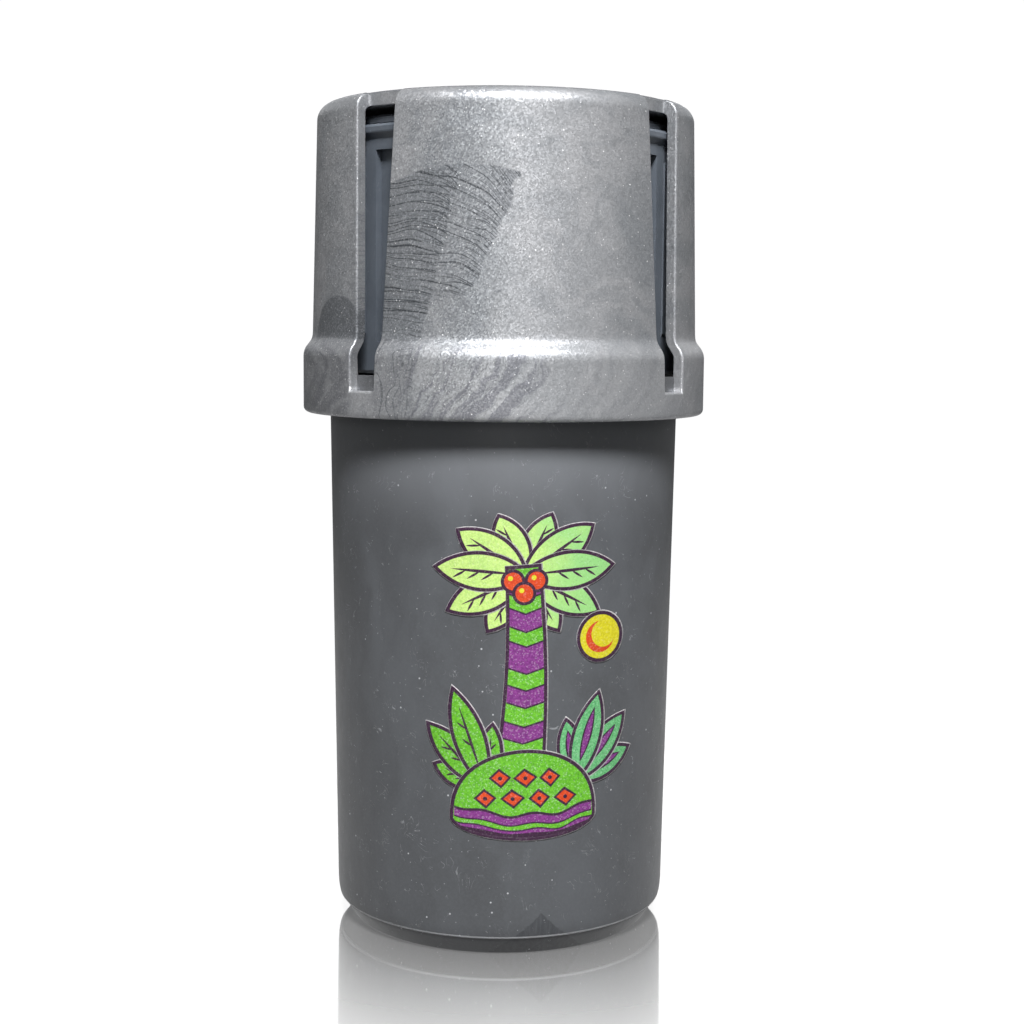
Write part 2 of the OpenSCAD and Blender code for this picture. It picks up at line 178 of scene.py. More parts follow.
# ------------------------------------------------------------------ node helper
class Tree:
    def __init__(self, name):
        self.mat = bpy.data.materials.new(name)
        self.mat.use_nodes = True
        self.t = self.mat.node_tree
        self.t.nodes.clear()
        self.out = self.t.nodes.new("ShaderNodeOutputMaterial")
        self.bsdf = self.t.nodes.new("ShaderNodeBsdfPrincipled")
        self.t.links.new(self.bsdf.outputs[0], self.out.inputs[0])

    def put(self, socket, value):
        if isinstance(value, bpy.types.NodeSocket):
            self.t.links.new(value, socket)
        elif value is not None:
            if hasattr(socket.default_value, "__len__") and not hasattr(value, "__len__"):
                value = [value] * len(socket.default_value)
            socket.default_value = value

    def math(self, op, a, b=None, c=None, clamp=False):
        n = self.t.nodes.new("ShaderNodeMath")
        n.operation, n.use_clamp = op, clamp
        for s, v in zip(n.inputs, (a, b, c)):
            self.put(s, v)
        return n.outputs[0]

    def vmath(self, op, a, b=None, scale=None):
        n = self.t.nodes.new("ShaderNodeVectorMath")
        n.operation = op
        self.put(n.inputs[0], a)
        if b is not None:
            self.put(n.inputs[1], b)
        if scale is not None:
            self.put(n.inputs[3], scale)
        return n.outputs["Value"] if op in ("LENGTH", "DISTANCE", "DOT_PRODUCT") else n.outputs["Vector"]

    def step(self, x, lo, hi):
        """0 at lo to 1 at hi, smooth; lo may be above hi."""
        n = self.t.nodes.new("ShaderNodeMapRange")
        n.interpolation_type = "SMOOTHSTEP"
        self.put(n.inputs["Value"], x)
        a, b = (lo, hi) if lo < hi else (hi, lo)
        n.inputs["From Min"].default_value, n.inputs["From Max"].default_value = a, b
        n.inputs["To Min"].default_value, n.inputs["To Max"].default_value = (0, 1) if lo < hi else (1, 0)
        return n.outputs["Result"]

    def noise(self, vec, scale, detail=2.0, rough=0.5, distortion=0.0, dims="3D", w=None):
        n = self.t.nodes.new("ShaderNodeTexNoise")
        n.noise_dimensions = dims
        self.put(n.inputs["Vector"], vec)
        if w is not None:
            self.put(n.inputs["W"], w)
        n.inputs["Scale"].default_value = scale
        n.inputs["Detail"].default_value = detail
        n.inputs["Roughness"].default_value = rough
        n.inputs["Distortion"].default_value = distortion
        return n.outputs

    def voronoi(self, vec, scale, feature="F1", randomness=1.0):
        n = self.t.nodes.new("ShaderNodeTexVoronoi")
        n.feature = feature
        self.put(n.inputs["Vector"], vec)
        n.inputs["Scale"].default_value = scale
        n.inputs["Randomness"].default_value = randomness
        return n.outputs

    def mix(self, f, a, b, mode="MIX"):
        n = self.t.nodes.new("ShaderNodeMix")
        n.data_type, n.blend_type, n.clamp_factor = "RGBA", mode, True
        self.put(n.inputs["Factor"], f)
        a = (*a, 1) if isinstance(a, tuple) and len(a) == 3 else a
        b = (*b, 1) if isinstance(b, tuple) and len(b) == 3 else b
        self.put(n.inputs[6], a)
        self.put(n.inputs[7], b)
        return n.outputs[2]

    def split(self, vec):
        n = self.t.nodes.new("ShaderNodeSeparateXYZ")
        self.put(n.inputs[0], vec)
        return n.outputs

    def join(self, x, y, z=0.0):
        n = self.t.nodes.new("ShaderNodeCombineXYZ")
        for s, v in zip(n.inputs, (x, y, z)):
            self.put(s, v)
        return n.outputs[0]

    def bump(self, height, strength, distance, normal=None):
        n = self.t.nodes.new("ShaderNodeBump")
        self.put(n.inputs["Height"], height)
        n.inputs["Strength"].default_value = strength
        n.inputs["Distance"].default_value = distance
        if normal is not None:
            self.put(n.inputs["Normal"], normal)
        return n.outputs[0]

    def set(self, **kw):
        for k, v in kw.items():
            self.put(self.bsdf.inputs[k.replace("_", " ")], v)

    def rest(self, own):
        """The point's place at rest, in mm: from rco on the pieces made here, from object coordinates on CAD nodes."""
        if own:
            n = self.t.nodes.new("ShaderNodeAttribute")
            n.attribute_name = "rco"
            return n.outputs["Vector"]
        n = self.t.nodes.new("ShaderNodeTexCoord")
        return self.vmath("SCALE", n.outputs["Object"], scale=1000.0)

    def polar(self, p):
        """(arc length on a 27 mm radius, z), the arc counted from the front towards +X."""
        s = self.split(p)
        ang = self.math("ARCTAN2", s[0], self.math("MULTIPLY", s[1], -1.0))
        return self.math("MULTIPLY", ang, 27.0), s[2]


def lin(*c):
    """sRGB 0-255 to linear."""
    return tuple(((x / 255) / 12.92) if x / 255 <= 0.04045 else (((x / 255) + 0.055) / 1.055) ** 2.4 for x in c)


# ------------------------------------------------------------------ materials
def cap_material(own=True, name="cap_pearl", shade=1.0):
    t = Tree(name)
    p = t.rest(own)
    u, z = t.polar(p)
    M, S = t.math, t.step

    def sub(a, b):
        return M("SUBTRACT", a, b)

    def mul(*f):
        o = f[0]
        for x in f[1:]:
            o = M("MULTIPLY", o, x)
        return o

    warp = t.noise(p, 0.055, 3.0, 0.55)["Color"]
    warped = t.vmath("ADD", p, t.vmath("SCALE", t.vmath("SUBTRACT", warp, (0.5, 0.5, 0.5)), scale=26.0))
    # broad clouds of pigment that the melt dragged through the pearl
    cloud = t.noise(warped, 0.075, 4.0, 0.55, 0.5)["Fac"]
    base = t.mix(S(cloud, 0.34, 0.66), lin(148, 151, 155), lin(171, 172, 175))
    pale = mul(S(u, -7.0, -1.0), S(u, 17.0, 8.0), S(z, 82.0, 84.0))
    base = t.mix(mul(pale, 0.35), base, lin(192, 193, 196))
    veil = t.noise(t.vmath("MULTIPLY", warped, (1.0, 1.0, 2.2)), 0.13, 3.0, 0.5, 1.4)["Fac"]
    base = t.mix(mul(S(veil, 0.50, 0.60), 0.30), base, lin(138, 142, 147))
    # slanting streaks in the collar
    wob = t.noise(p, 0.16, 3.0, 0.6)["Fac"]
    wob2 = t.noise(p, 0.7, 2.0, 0.6)["Fac"]
    d = M("ADD", sub(u, mul(sub(z, 77.0), 0.62)), M("ADD", mul(sub(wob, 0.5), 6.0), mul(M("SINE", mul(z, 0.55)), 0.6)))
    streak = t.noise(t.join(mul(d, 0.78), mul(z, 0.035), 12.4), 1.0, 2.0, 0.5)["Fac"]
    low = S(z, 83.2, 81.2)
    where = M("MULTIPLY_ADD", mul(S(u, -19.0, -13.0), S(u, 6.0, -1.0)), 0.76, 0.24)
    base = t.mix(mul(low, 0.22), base, lin(206, 207, 209))
    base = t.mix(mul(S(streak, 0.50, 0.57), low, where, 0.66), base, lin(120, 121, 129))
    rim = S(M("ABSOLUTE", sub(streak, 0.50)), 0.012, 0.003)
    base = t.mix(mul(rim, low, where, 0.35), base, lin(86, 88, 96))
    base = t.mix(mul(S(streak, 0.47, 0.38), low, where, 0.30), base, lin(190, 191, 194))
    # the fan of dark flow lines at the left of the front panel, in two tiers that hook down at their right ends
    dz = sub(104.1, z)
    jag = mul(sub(wob2, 0.5), 2.0)
    edge_a = M("ADD", M("ADD", sub(u, -1.2), mul(dz, 0.29)), M("ADD", mul(dz, dz, 0.008), jag))
    edge_b = M("ADD", M("ADD", sub(u, -9.8), mul(sub(99.8, z), 0.24)), jag)
    arch = M("ADD", z, mul(M("POWER", M("ADD", u, 8.0), 2.0), 0.02))
    top = S(arch, 105.35, 105.0)
    in_a = mul(S(edge_a, 0.25, -0.25), top, S(sub(z, mul(sub(u, -6.9), 0.35)), 88.6, 90.2))
    in_b = mul(S(edge_b, 0.25, -0.25), top, S(z, 82.6, 83.2))
    left = S(u, -27.0, -21.0)
    h_a = M("MAXIMUM", M("ADD", u, 18.0), 0.0)
    h_b = M("MAXIMUM", M("ADD", u, 17.0), 0.0)
    drift = mul(sub(t.noise(p, 0.13, 1.0, 0.5)["Fac"], 0.5), 2.4)
    flow_a = M("ADD", M("ADD", z, mul(h_a, h_a, h_a, 0.0015)), drift)
    flow_b = M("ADD", M("ADD", z, mul(h_b, h_b, h_b, 0.0052)), drift)

    def lines(flow, seed, per_mm, wide, lo, hi, wave=2.2):
        """Long thin lines along the flow, per_mm of them in a millimetre, each one fading in and out."""
        f = M("ADD", mul(flow, per_mm), mul(t.noise(t.join(mul(u, 0.06), mul(flow, 0.20), seed), 1.0, 1.0, 0.5)["Fac"], wave))
        gate = t.noise(t.join(mul(u, 0.07), mul(M("FLOOR", f), 3.7), seed + 5.0), 1.0, 1.0, 0.5)["Fac"]
        return mul(S(M("ABSOLUTE", sub(M("FRACT", f), 0.5)), wide, wide * 0.25), S(gate, lo, hi))
    near_a, near_b = S(edge_a, -6.5, -0.6), S(edge_b, -4.5, -0.4)
    fine_a = M("MAXIMUM", lines(flow_a, 3.0, 0.80, 0.085, 0.36, 0.52), M("MAXIMUM", mul(lines(flow_a, 9.0, 1.9, 0.15, 0.40, 0.58, 3.0), M("MULTIPLY_ADD", near_a, 0.5, 0.45)), mul(lines(flow_a, 15.0, 1.3, 0.12, 0.34, 0.48, 7.0), near_a)))
    fine_b = M("MAXIMUM", lines(flow_b, 5.0, 0.72, 0.085, 0.36, 0.50), M("MAXIMUM", mul(lines(flow_b, 25.0, 1.7, 0.15, 0.42, 0.58, 2.5), M("MULTIPLY_ADD", near_b, 0.5, 0.4)), mul(lines(flow_b, 35.0, 1.1, 0.11, 0.38, 0.52, 5.0), near_b, 0.85)))
    fan = mul(M("MAXIMUM", in_a, in_b), left)
    base = t.mix(mul(fan, M("MULTIPLY_ADD", S(cloud, 0.3, 0.7), 0.22, 0.24)), base, lin(116, 121, 126))
    base = t.mix(mul(in_b, left, 0.22), base, lin(96, 102, 108))
    knot = mul(in_a, S(edge_a, -4.6, -0.3), S(z, 96.0, 102.0))
    base = t.mix(mul(knot, 0.40), base, lin(84, 88, 94))
    dark = M("MAXIMUM", mul(in_a, fine_a), mul(in_b, fine_b))
    base = t.mix(mul(dark, left, 0.80), base, lin(44, 48, 54))
    # a few loose ticks to the right of the fan
    tick = t.noise(t.join(mul(M("ADD", u, mul(z, 0.5)), 0.5), mul(sub(z, mul(u, 0.3)), 1.4), 1.0), 1.0, 2.0, 0.5)["Fac"]
    near = mul(S(edge_a, 9.0, 2.0), S(edge_a, -0.2, 0.4), S(z, 84.0, 85.5), S(z, 104.5, 102.0))
    base = t.mix(mul(S(tick, 0.70, 0.76), near, 0.55), base, lin(86, 90, 96))
    # dark domed cloud low on the left side wall, ringed like wood, running on into the collar
    du = mul(M("ADD", u, 29.5), 0.138)
    dv = mul(sub(z, 82.0), 0.150)
    rad = M("ADD", M("SQRT", M("ADD", mul(du, du), mul(dv, dv))), mul(sub(wob, 0.5), 0.22))
    base = t.mix(mul(S(rad, 1.02, 0.96), S(z, 82.6, 83.2), 0.62), base, lin(86, 90, 95))
    smear = t.noise(t.join(mul(M("ADD", u, mul(z, 0.9)), 0.07), mul(sub(z, mul(u, 0.35)), 0.13), 2.0), 1.0, 1.5, 0.5, 0.8)["Fac"]
    side_l = mul(S(M("ADD", u, mul(sub(wob, 0.5), 8.0)), -22.0, -25.5), S(u, -46.0, -38.0), S(z, 83.4, 82.4))
    wood = S(M("ABSOLUTE", sub(M("FRACT", mul(smear, 6.0)), 0.5)), 0.46, 0.04)
    base = t.mix(mul(side_l, M("MULTIPLY_ADD", wood, 0.24, 0.30)), base, lin(80, 83, 90))
    # loops of darker pigment in the collar under the left slot
    lu = M("ADD", u, 17.5)
    ring = t.noise(t.join(M("ADD", mul(lu, 0.13), mul(z, 0.04)), sub(mul(lu, 0.04), mul(z, 0.10)), 0.0), 1.0, 1.0, 0.5, 1.0)["Fac"]
    loop = S(M("ABSOLUTE", sub(M("FRACT", mul(ring, 8.0)), 0.5)), 0.10, 0.03)
    area_l = mul(S(M("ADD", M("ABSOLUTE", lu), mul(sub(wob, 0.5), 4.0)), 3.4, 2.6), S(z, 83.4, 82.6))
    base = t.mix(mul(area_l, M("MULTIPLY_ADD", loop, 0.40, 0.25)), base, lin(86, 90, 96))
    # a few thin hair lines elsewhere
    hair = t.noise(t.vmath("MULTIPLY", warped, (1.0, 1.0, 0.6)), 0.35, 2.0, 0.5, 2.0)["Fac"]
    hairline = mul(S(M("ABSOLUTE", sub(hair, 0.5)), 0.006, 0.001), S(cloud, 0.50, 0.62))
    base = t.mix(mul(hairline, 0.22), base, lin(110, 114, 120))
    # mica flakes: small cells, each with a tone and a tilt of its own
    cell = t.voronoi(p, 5.6)
    tone = t.split(cell["Color"])
    base = t.mix(mul(S(tone[0], 0.55, 1.0), 0.20), base, lin(214, 216, 220))
    base = t.mix(mul(S(tone[0], 0.30, 0.0), 0.16), base, lin(110, 112, 117))
    # painted glints: the near-white dots below are the flakes' own pale colour together with glints painted into the
    # colour
    grain = t.voronoi(p, 3.2)
    speck_and_glint = mul(S(t.split(grain["Color"])[1], 0.935, 0.96), S(grain["Distance"], 0.30, 0.15))
    big = t.voronoi(p, 1.25)
    fleck_and_glint = mul(S(t.split(big["Color"])[2], 0.88, 0.90), S(big["Distance"], 0.15, 0.08))
    base = t.mix(M("MAXIMUM", speck_and_glint, fleck_and_glint), base, (0.93, 0.93, 0.94))
    # the roof is coloured darker than the polished wall
    base = t.mix(mul(S(z, 114.85, 115.1), 0.62), base, lin(92, 95, 101))
    # painted shade: with shade under 1 the colour is darkened towards dark grey, as though the piece lay in shadow
    if shade < 1.0:
        base = t.mix(1.0 - shade, base, lin(52, 56, 60))
    geo = t.t.nodes.new("ShaderNodeNewGeometry")
    tilt = t.vmath("SCALE", t.vmath("SUBTRACT", cell["Color"], (0.5, 0.5, 0.5)), scale=0.22)
    flake_n = t.vmath("NORMALIZE", t.vmath("ADD", geo.outputs["Normal"], tilt))
    swell = t.noise(p, 0.10, 2.0, 0.5)["Fac"]
    peel = t.noise(p, 1.1, 2.0, 0.5)["Fac"]
    n = t.bump(swell, 0.35, 0.0006, flake_n)
    n = t.bump(peel, 0.2, 0.00005, n)
    rough = M("MULTIPLY_ADD", t.noise(p, 0.5, 3.0, 0.6)["Fac"], 0.12, 0.43)
    t.set(Base_Color=base, Metallic=0.58, Roughness=rough, Normal=n)
    t.set(Coat_Weight=0.06, Coat_Roughness=0.32)
    return t.mat


def jar_material(own=True, name="jar_slate", tint=(82, 84, 87), light=(97, 100, 104), flecks=1.0, seed=0.0):
    t = Tree(name)
    p = t.rest(own)
    if seed:
        p = t.vmath("ADD", p, (seed, seed * 0.7, seed * 0.3))
    u, z = t.polar(p)
    warp = t.noise(p, 0.05, 3.0, 0.6)["Color"]
    q = t.vmath("ADD", p, t.vmath("SCALE", t.vmath("SUBTRACT", warp, (0.5, 0.5, 0.5)), scale=18.0))
    cloud = t.noise(t.vmath("MULTIPLY", q, (1.0, 1.0, 0.35)), 0.11, 4.0, 0.6)["Fac"]
    base = t.mix(t.step(cloud, 0.30, 0.72), lin(*tint), lin(*light))
    if not seed:
        # painted highlight: the wall is painted lighter towards its top, just under the collar
        base = t.mix(t.math("MULTIPLY", t.step(z, 56.0, 68.0), 0.55), base, lin(138, 141, 146))
        # painted shade: the wall is painted darker from z 50 down to z 12
        base = t.mix(t.math("MULTIPLY", t.step(z, 50.0, 12.0), 0.30), base, lin(70, 72, 75))
    fine = t.noise(p, 2.6, 3.0, 0.7)["Fac"]
    base = t.mix(t.math("MULTIPLY", t.step(fine, 0.35, 0.75), 0.16), base, lin(112, 115, 120))
    if not seed:
        # weld-line chevron in the wall over the gate, low at the front
        off = t.math("ABSOLUTE", t.math("SUBTRACT", u, 3.6))
        vee = t.math("ADD", t.math("SUBTRACT", t.math("MULTIPLY", t.math("POWER", off, 0.85), 1.02), t.math("SUBTRACT", 6.4, z)), t.math("MULTIPLY", t.math("SUBTRACT", t.noise(p, 1.2, 3.0, 0.6)["Fac"], 0.5), 0.9))
        comb = t.noise(t.vmath("MULTIPLY", p, (2.2, 2.2, 0.3)), 1.0, 2.0, 0.6)["Fac"]
        mark = t.math("MULTIPLY", t.step(vee, 0.12, -0.2), t.math("MULTIPLY_ADD", t.step(comb, 0.35, 0.65), 0.35, 0.40))
        base = t.mix(mark, base, lin(56, 58, 62))
        # painted highlight: a pale line along the lower edge of the wall at the base step
        edge = t.math("MULTIPLY", t.step(z, 2.66, 2.74), t.step(z, 3.06, 2.92))
        base = t.mix(t.math("MULTIPLY", edge, 0.9), base, lin(206, 208, 212))
    # pale specks of pearl and dust
    cell = t.voronoi(p, 1.35)
    on = t.math("MULTIPLY", t.step(t.split(cell["Color"])[0], 0.72, 0.78), t.step(cell["Distance"], 0.135, 0.06))
    cell2 = t.voronoi(p, 0.6)
    on2 = t.math("MULTIPLY", t.step(t.split(cell2["Color"])[1], 0.66, 0.70), t.step(cell2["Distance"], 0.095, 0.05))
    speck = t.math("MAXIMUM", t.math("MULTIPLY", on, 0.5), on2)
    # short scratches
    sc = t.noise(t.vmath("MULTIPLY", q, (1.3, 1.3, 0.30)), 1.0, 1.0, 0.5, 0.5)["Fac"]
    gate = t.noise(p, 0.42, 2.0, 0.5)["Fac"]
    scratch = t.math("MULTIPLY", t.step(t.math("ABSOLUTE", t.math("SUBTRACT", sc, 0.5)), 0.010, 0.003), t.step(gate, 0.58, 0.64))
    sc2 = t.noise(t.vmath("MULTIPLY", t.vmath("ADD", q, t.join(z, 0.0, 0.0)), (0.5, 0.5, 1.1)), 1.0, 1.0, 0.5, 0.7)["Fac"]
    gate2 = t.noise(t.vmath("ADD", p, (31.0, 5.0, 9.0)), 0.5, 2.0, 0.5)["Fac"]
    scratch2 = t.math("MULTIPLY", t.step(t.math("ABSOLUTE", t.math("SUBTRACT", sc2, 0.5)), 0.008, 0.002), t.step(gate2, 0.62, 0.66))
    speck = t.math("MAXIMUM", speck, t.math("MAXIMUM", t.math("MULTIPLY", scratch, 0.30), t.math("MULTIPLY", scratch2, 0.45)))
    base = t.mix(t.math("MULTIPLY", speck, 0.85 * flecks), base, lin(208, 210, 214))
    if name.startswith("drum"):
        # painted shade: the drum is painted darker towards its lower end and near black below z 84, for the shadow deep
        # inside the collar
        base = t.mix(t.math("MULTIPLY", t.step(z, 92.0, 84.5), 0.55), base, lin(44, 50, 58))
        base = t.mix(t.math("MULTIPLY", t.step(z, 84.0, 82.0), 0.85), base, lin(12, 14, 18))
    peel = t.noise(p, 1.6, 2.0, 0.5)["Fac"]
    swell = t.noise(p, 0.09, 2.0, 0.5)["Fac"]
    n = t.bump(peel, 0.22, 0.00005, t.bump(swell, 0.35, 0.0006))
    rough = t.math("MULTIPLY_ADD", t.noise(p, 0.7, 3.0, 0.6)["Fac"], 0.14, 0.33)
    t.set(Base_Color=base, Metallic=0.0, Roughness=rough, Normal=n)
    t.set(Specular_IOR_Level=0.5)
    return t.mat


def rubber_material(name="seal_rubber"):
    t = Tree(name)
    p = t.rest(False)
    f = t.noise(p, 1.8, 3.0, 0.6)["Fac"]
    base = t.mix(f, lin(34, 34, 36), lin(52, 52, 54))
    t.set(Base_Color=base, Roughness=t.math("MULTIPLY_ADD", f, 0.15, 0.55), Normal=t.bump(f, 0.2, 0.00004))
    return t.mat


def ink_material(name, a, b, grain=1.0, grad=None):
    """Ink with the fine grain of a textured print: a and b are its two tones; grad is a third tone that it fades to at the top."""
    t = Tree(name)
    p = t.rest(True)
    g = t.noise(p, 3.4, 3.0, 0.75)["Fac"]
    s = t.split(p)
    col = t.mix(t.step(g, 0.36, 0.64), lin(*a), lin(*b))
    if grad is not None:
        broad = t.noise(p, 0.12, 2.0, 0.5)["Fac"]
        f = t.math("ADD", t.math("MULTIPLY", s[0], 0.05), t.math("MULTIPLY_ADD", broad, 1.6, -0.55))
        col = t.mix(t.step(f, 0.0, 1.0), col, lin(*grad))
    sp = t.voronoi(p, 6.0)
    col = t.mix(t.math("MULTIPLY", t.step(t.split(sp["Color"])[0], 0.80, 0.95), 0.22 * grain), col, (1.0, 1.0, 1.0))
    col = t.mix(t.math("MULTIPLY", t.step(t.split(sp["Color"])[1], 0.82, 0.97), 0.25 * grain), col, lin(40, 30, 40))
    t.set(Base_Color=col, Roughness=t.math("MULTIPLY_ADD", g, 0.2, 0.42), Normal=t.bump(g, 0.45, 0.00008))
    return t.mat


CAP = cap_material()
# painted shade: a darkened copy of the cap material for the ring, ribs and boss inside the collar
CAP_PAINTED_SHADE = cap_material(name="cap_pearl_painted_shade", shade=0.42)
JAR = jar_material()
DRUM = jar_material(False, "drum_slate", tint=(86, 93, 102), light=(108, 115, 124), flecks=0.35, seed=41.0)
GRIND = jar_material(False, "grinder_slate", tint=(70, 75, 82), light=(90, 95, 102), flecks=0.4, seed=83.0)
RUBBER = rubber_material()


# ------------------------------------------------------------------ jar
def build_jar():
    step_z, step_in, foot_r = 2.75, 0.55, 21.6
    prof = [(0, 0.75), (7.5, 0.75), (8.0, 0.6), (15.4, 0.6), (15.8, 0.5), (16.15, 0.15), (16.35, 0.0), (18.5, 0.0)]
    prof += arc(foot_r - 0.5, 0.5, 0.5, -90, -32, 6)
    r_in, r_out = jar_r(step_z) - step_in, jar_r(step_z) - 0.3
    prof += [(r_in - 0.34, step_z - 0.75), (r_in - 0.1, step_z - 0.4), (r_in - 0.02, step_z - 0.2), (r_in + 0.02, step_z - 0.12), (r_in + 0.07, step_z - 0.08), (r_out - 0.06, step_z - 0.06),
             (r_out, step_z + 0.0), (r_out + 0.07, step_z + 0.1), (r_out + 0.12, step_z + 0.3), (jar_r(step_z + 0.7) - 0.11, step_z + 0.7), (jar_r(step_z + 1.3) - 0.04, step_z + 1.3), (jar_r(step_z + 2.3), step_z + 2.3)]
    prof += [(jar_r(z), z) for z in (8, 12, 18, 25, 32, 40, 48, 56, 64, 70, 73, 74.6)]
    prof += arc(jar_r(75.2) - 1.5, 75.2, 1.5, 2, 80, 10)
    prof += arc(22.5, 77.6, 0.9, -98, -175, 8)
    prof += [(21.6, 77.75), (22.02, 77.82), (22.1, 77.88), (22.02, 77.98), (21.6, 78.1), (21.6, 80), (21.6, 84), (21.6, 88.0), (21.6, 89.3)]
    prof += arc(21.1, 89.5, 0.5, 5, 90, 8) + arc(20.5, 89.6, 0.4, 90, 175, 8)
    prof += [(20.1, 89.0), (20.1, 84), (20.1, 79), (20.1, 76.9), (20.25, 76.3), (20.6, 75.7), (jar_r(72) - 1.9, 73.6), (jar_r(72) - 1.62, 72.8), (jar_r(71) - 1.6, 71)]
    prof += [(jar_r(z) - 1.6, z) for z in (60, 48, 36, 24, 12, 6)]
    prof += arc(jar_r(4) - 1.6 - 2.2, 4.2, 2.2, 0, -90, 10)
    prof += [(12, 2.0), (0, 2.0)]
    V, F = lathe_data(prof, 288)
    for s in range(3):
        v, f = thread_data(21.3, 21.55, 22.5, 79.6, s * 120.0, base=len(V))
        V += v
        F += f
    ob = make("jar_shell", V, F, [JAR])
    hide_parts("jar_body")
    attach(ob, "jar")
    return ob


# ------------------------------------------------------------------ outer cap
def lean(z, deg, r):
    return math.degrees(math.asin(max(-1, min(1, (z - 95.0) * math.tan(math.radians(deg)) / r))))


def pan_edge(r, z):
    z, r = min(max(z, SLOT_Z), TOTAL_H), max(r, NOTCH_R)
    return PANEL_A - lean(z, PANEL_LEAN, r)


def win_edge(r, z):
    z, r = min(max(z, SLOT_Z), TOTAL_H), max(r, NOTCH_R)
    return WIN_A + lean(z, WIN_LEAN, r)


def on_arc(cx, cz, rad, r):
    """z of the arc's upper right quarter where its radius from the axis is r."""
    return cz + math.sqrt(max(0.0, rad * rad - (r - cx) ** 2))


def cap_rows():
    """The rows of the shell: pairs of an outer and an inner point through the slots' height, and the rows below and above them."""
    out_low = arc(COLLAR_R - 0.8, COLLAR_Z + 0.8, 0.8, -90, 0, 6) + [(COLLAR_R, 74.2), (COLLAR_R, 75.2)]
    in_low = [(27.55, COLLAR_Z + 0.0), (27.25, 72.62), (27.05, 72.85), (27.0, 73.1), (27.0, 74.2), (27.0, 75.2)]
    pairs = [((COLLAR_R, SLOT_Z), (27.0, SLOT_Z)), ((COLLAR_R, 76.8), (27.0, 76.8)), ((COLLAR_R, SEAM0), (27.0, SEAM0)), ((COLLAR_R, 79.2), (27.0, 79.1)), ((COLLAR_R, 80.0), (27.0, 79.9))]
    # shoulder: a convex round, then a slope that runs out into the wall
    sh_o = [(28.5, 80.4), (28.47, 80.75), (28.39, 81.1), (28.25, 81.45), (28.06, 81.78), (27.83, 82.08), (27.62, 82.34), (27.44, 82.6), (27.30, 82.9), (27.22, 83.25), (cap_r(83.8), 83.8)]
    sh_i = [(27.0, 80.3), (26.99, 80.6), (26.93, 80.9), (26.8, 81.2), (26.6, 81.5), (26.38, 81.8), (26.16, 82.1), (25.97, 82.4), (25.82, 82.75), (25.73, 83.15), (cap_r(83.8) - 1.5, 83.8)]
    pairs += list(zip(sh_o, sh_i))
    for z in [84.8, 86, 88, 90, 92, 93.6, MID, 96.4, 98, 100, 102, 104, 106, 108, 109.5, 110.8, 112.0]:
        pairs.append(((cap_r(z), z), (cap_r(z) - 1.5, z if z < 111.5 else 111.6)))
    pairs.append(((cap_r(SEAM1), SEAM1), (cap_r(112.2) - 1.5, 112.2)))
    # roof edge: outer round 2.2 mm, inner 0.9 mm, both cut at the notch radius
    R0, c0 = 2.2, (cap_r(TOTAL_H - 2.2) - 2.2, TOTAL_H - 2.2)
    R1, c1 = 0.9, (cap_r(ROOF_Z - 0.9) - 1.5 - 0.9, ROOF_Z - 0.9)
    a_end0 = math.degrees(math.acos((NOTCH_R - c0[0]) / R0))
    a_end1 = math.degrees(math.acos(max(-1, min(1, (NOTCH_R - c1[0]) / R1))))
    n = 12
    for i in range(n + 1):
        a0, a1 = math.radians(a_end0 * i / n), math.radians(a_end1 * i / n)
        pairs.append(((c0[0] + R0 * math.cos(a0), c0[1] + R0 * math.sin(a0)), (c1[0] + R1 * math.cos(a1), c1[1] + R1 * math.sin(a1))))
    out_top = [(c0[0] - 0.25, TOTAL_H), (23.2, TOTAL_H), (22.3, TOTAL_H), (22.05, TOTAL_H - 0.04), (21.85, TOTAL_H - 0.16), (21.6, TOTAL_H - 0.2), (19.0, TOTAL_H - 0.2), (14.0, TOTAL_H - 0.2), (9.0, TOTAL_H - 0.2), (4.0, TOTAL_H - 0.2), (1.1, TOTAL_H - 0.2), (0.95, TOTAL_H - 0.3), (0.4, TOTAL_H - 0.32)]
    in_top = [(c1[0], ROOF_Z), (22.0, ROOF_Z), (16.0, ROOF_Z), (9.0, ROOF_Z), (4.0, ROOF_Z), (0.6, ROOF_Z)]
    return out_low, in_low, pairs, out_top, in_top


def cap_columns():
    """(kind, function of (r, z) to the angle in degrees) for each column round the cap, starting at the left edge of the front panel."""
    cols = []

    def seg(kind, n, e0, e1, ease=False):
        for i in range(n):
            f = i / n
            if ease:
                f = 0.5 - 0.5 * math.cos(math.pi * f) if False else f
            cols.append((kind, lambda r, z, f=f: e0(r, z) * (1 - f) + e1(r, z) * f))
    P, W = pan_edge, win_edge
    seg("panel_front", 56, lambda r, z: -P(r, z), lambda r, z: P(r, z))
    seg("slot", 8, lambda r, z: P(r, z), lambda r, z: W(r, z))
    seg("side", 50, lambda r, z: W(r, z), lambda r, z: 180 - W(r, z))
    seg("slot", 8, lambda r, z: 180 - W(r, z), lambda r, z: 180 - P(r, z))
    seg("panel_rear", 56, lambda r, z: 180 - P(r, z), lambda r, z: 180 + P(r, z))
    seg("slot", 8, lambda r, z: 180 + P(r, z), lambda r, z: 180 + W(r, z))
    seg("side", 50, lambda r, z: 180 + W(r, z), lambda r, z: 360 - W(r, z))
    seg("slot", 8, lambda r, z: 360 - W(r, z), lambda r, z: 360 - P(r, z))
    return cols


